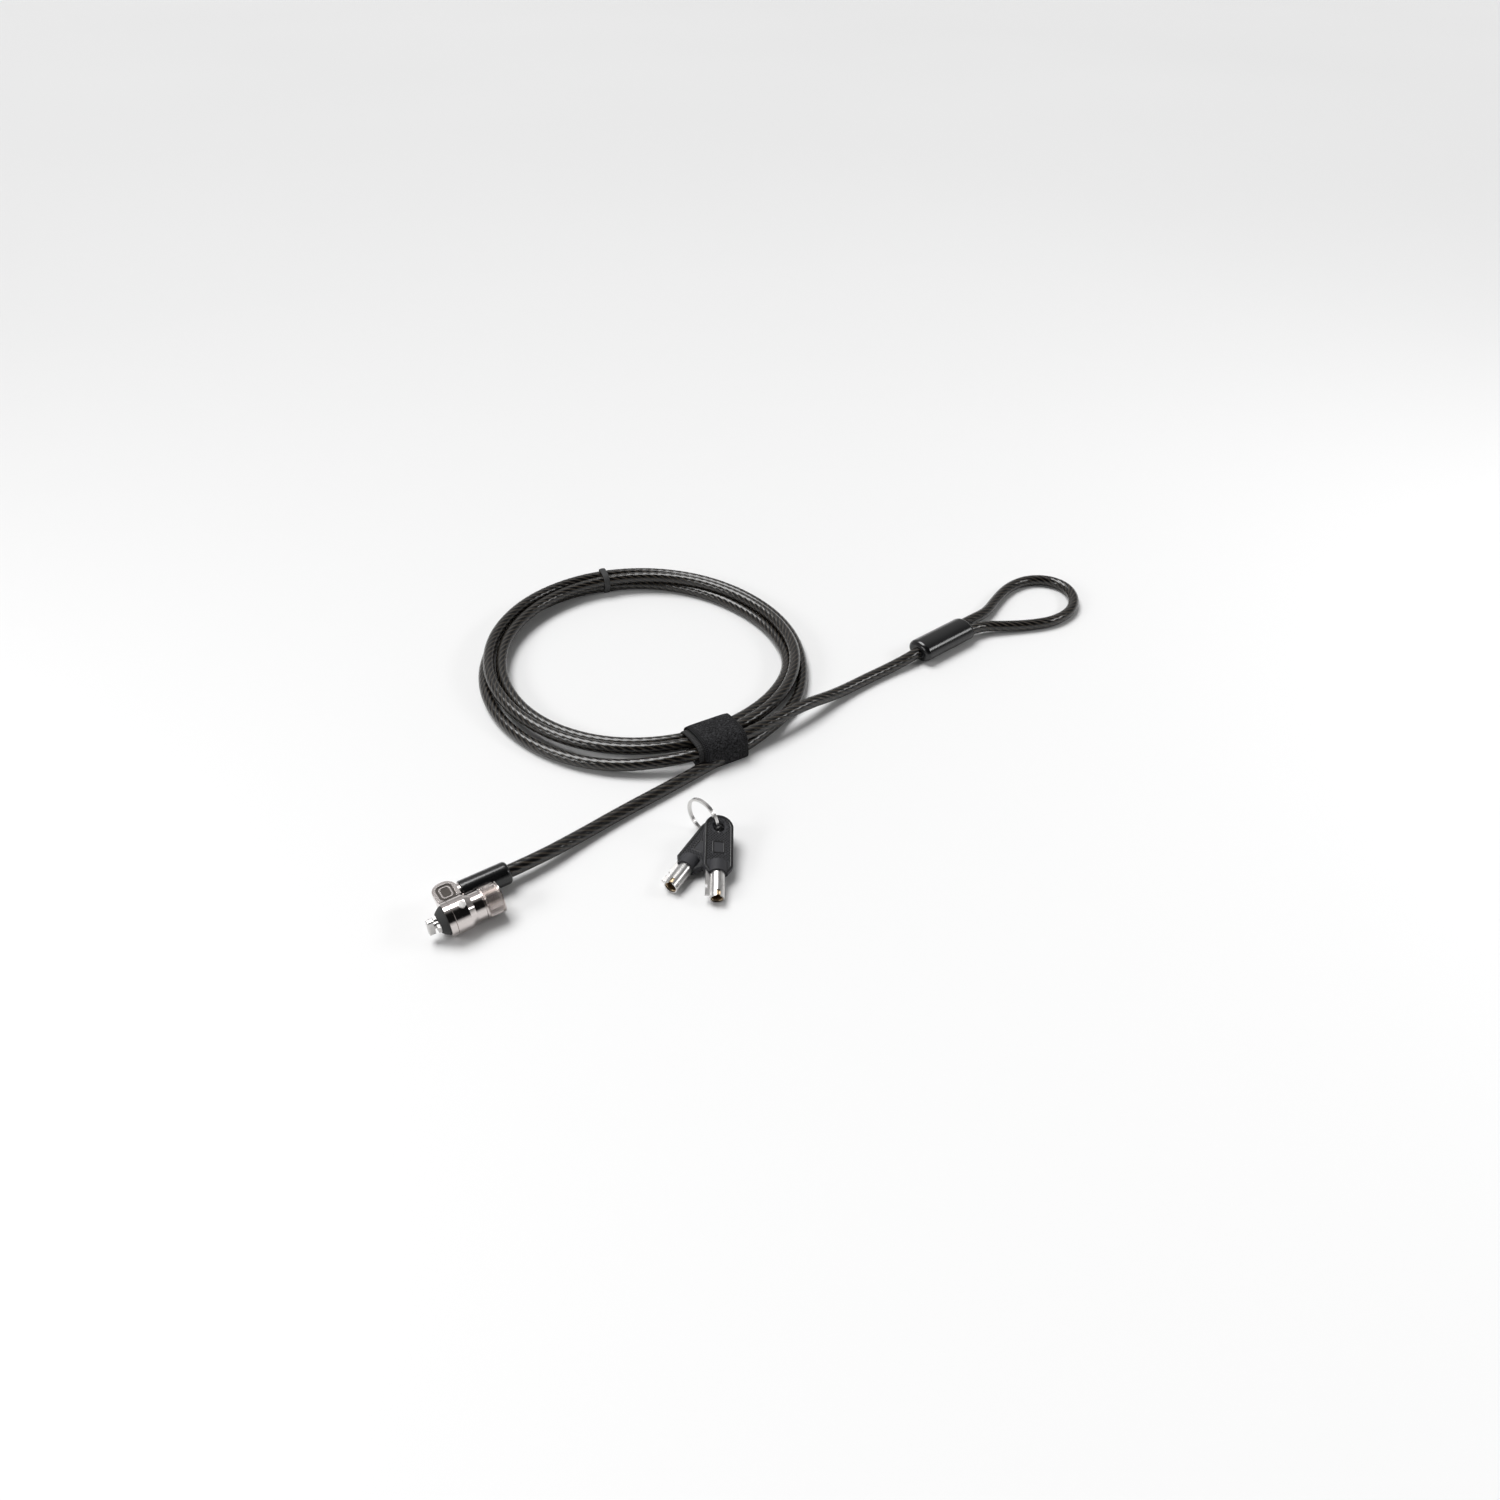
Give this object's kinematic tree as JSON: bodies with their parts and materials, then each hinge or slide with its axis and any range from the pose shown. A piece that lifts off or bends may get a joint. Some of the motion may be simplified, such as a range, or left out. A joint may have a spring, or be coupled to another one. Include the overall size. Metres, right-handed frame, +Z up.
{
  "type": "laptop cable lock",
  "caption": "Cable lock for a portable computer: T-bar lock head with swivelling cable ear, coiled steel cable with end loop, strap and tubular keys on a split ring.",
  "frame": {"origin": "where the lock barrel's axis meets the rubber face that rests against the computer", "axes": "+X back along the barrel towards the key opening, +Y from the barrel towards the cable ear, +Z up from the surface that everything lies on"},
  "size_m": [0.3817, 0.2415, 0.0183],
  "materials": {
    "chrome_body": "polished nickel-chrome with soft streaks",
    "steel": "fine satin steel",
    "spring_steel": "bright drawn wire",
    "dark_panel": "dark satin inlay",
    "brass": "bare brass, slightly coppery",
    "bumper_rubber": "matt black moulded rubber",
    "band_rubber": "dull black rubber",
    "jacket": "glossy black PVC over steel strands, diagonal strand marks",
    "sleeve_plastic": "glossy black moulded plastic",
    "bow_plastic": "satin black plastic with fine woven texture",
    "strap_fabric": "black hook and loop webbing"
  },
  "bodies": {
    "cable": {"cable_ferrule": "chrome_body", "ferrule_snap_ring": "spring_steel", "cable_sleeve": "sleeve_plastic", "cable_lead": "jacket", "cable_coil": "jacket", "cable_tail": "jacket", "cable_strap": "strap_fabric", "rubber_band": "band_rubber", "loop_sleeve": "sleeve_plastic", "loop_crimp": "steel"},
    "ear": {"swivel_ring": "chrome_body", "ear_plaque": "dark_panel"},
    "barrel": {"lock_barrel": "chrome_body", "stop_pin": "steel", "knurled_grip": "chrome_body", "rubber_bumper": "bumper_rubber", "retaining_clip": "spring_steel", "anti_rotation_tongues": "steel", "core_stator": "brass", "keyway_shell": "steel", "thrust_washer": "steel", "pin_springs": "spring_steel"},
    "spindle": {"t_bar_spindle": "steel", "core_rotor": "brass"},
    "key_pin_set": {"key_pins": "brass"},
    "driver_pin_set": {"driver_pins": "steel"},
    "key_ring": {"split_ring": "spring_steel"},
    "key_1": {"key_bow_1": "bow_plastic", "key_tube_1": "steel", "key_liner_1": "brass", "key_blade_1": "steel"},
    "key_2": {"key_bow_2": "bow_plastic", "key_tube_2": "steel", "key_liner_2": "brass", "key_blade_2": "steel"}
  },
  "joints": [
    {"name": "ear_swivel", "type": "hinge", "parent": "cable", "child": "ear", "pos_m": [0.0075, 0.0112, -0.0013], "axis": [1, 0, 0], "continuous": true},
    {"name": "barrel_swivel", "type": "hinge", "parent": "ear", "child": "barrel", "pos_m": [0, 0, 0], "axis": [1, 0, 0], "range_deg": [-45, 190]},
    {"name": "key_turn", "type": "hinge", "parent": "barrel", "child": "spindle", "pos_m": [0, 0, 0], "axis": [1, 0, 0], "range_deg": [0, 90]},
    {"name": "key_pin_travel", "type": "slide", "parent": "spindle", "child": "key_pin_set", "axis": [-1, 0, 0], "range_m": [0, 0.001]},
    {"name": "driver_pin_travel", "type": "slide", "parent": "barrel", "child": "driver_pin_set", "axis": [-1, 0, 0], "range_m": [0, 0.001], "deforming": ["pin_springs"]},
    {"name": "key_lift", "type": "slide", "parent": "cable", "child": "key_ring", "axis": [0, 0, 1], "range_m": [0, 0.06]},
    {"name": "key_1_swing", "type": "hinge", "parent": "key_ring", "child": "key_1", "pos_m": [0.11253, -0.0145, -0.00236], "axis": [0, 0, 1], "range_deg": [-20, 0]},
    {"name": "key_2_swing", "type": "hinge", "parent": "key_ring", "child": "key_2", "pos_m": [0.11312, -0.01729, 0.00213], "axis": [0, 0, 1], "range_deg": [0, 20]}
  ],
  "couplings": [
    {"joint": "key_pin_travel", "follows": "driver_pin_travel", "ratio": 1}
  ]
}
